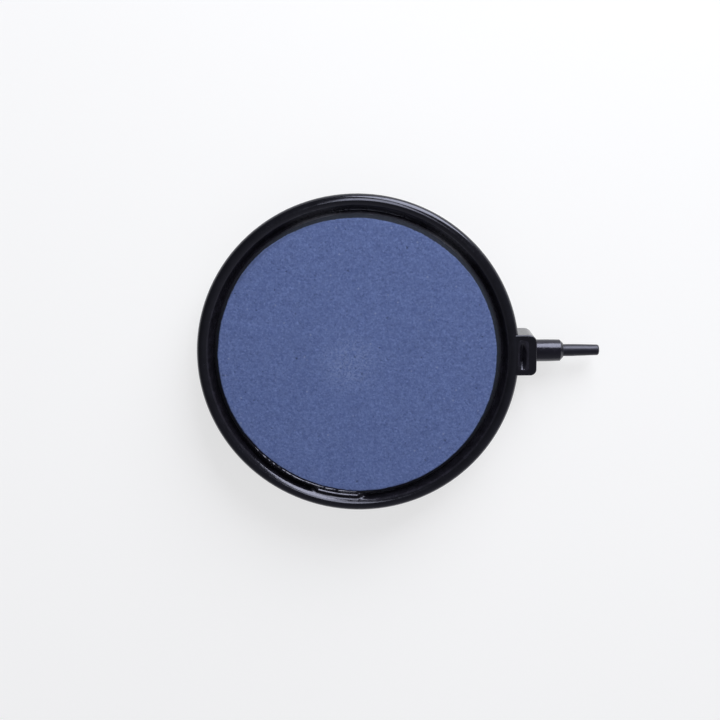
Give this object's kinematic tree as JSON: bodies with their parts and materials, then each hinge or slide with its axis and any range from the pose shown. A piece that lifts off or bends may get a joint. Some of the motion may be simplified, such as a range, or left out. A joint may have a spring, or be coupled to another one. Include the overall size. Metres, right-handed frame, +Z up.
{
  "type": "air stone",
  "caption": "Round air stone: a porous blue-grey mineral disc bonded into a black dish with a rolled lip, fed by a stepped hose nozzle at its side.",
  "frame": {"origin": "centre of the disc on its underside, where the object rests", "axes": "+Z up through the porous face, +X along the hose nozzle, away from the disc"},
  "size_m": [0.1633, 0.13, 0.0178],
  "materials": {
    "dish_plastic": "black moulded plastic, semi-gloss",
    "porous_stone": "blue-grey sintered mineral grain, matt and porous",
    "cured_resin": "black cured epoxy, glossy and uneven",
    "nozzle_plastic": "black moulded plastic, gloss"
  },
  "bodies": {
    "root": {"dish": "dish_plastic", "stone_disc": "porous_stone", "sealing_resin": "cured_resin", "potting_resin": "cured_resin", "hose_nozzle": "nozzle_plastic"}
  },
  "joints": []
}
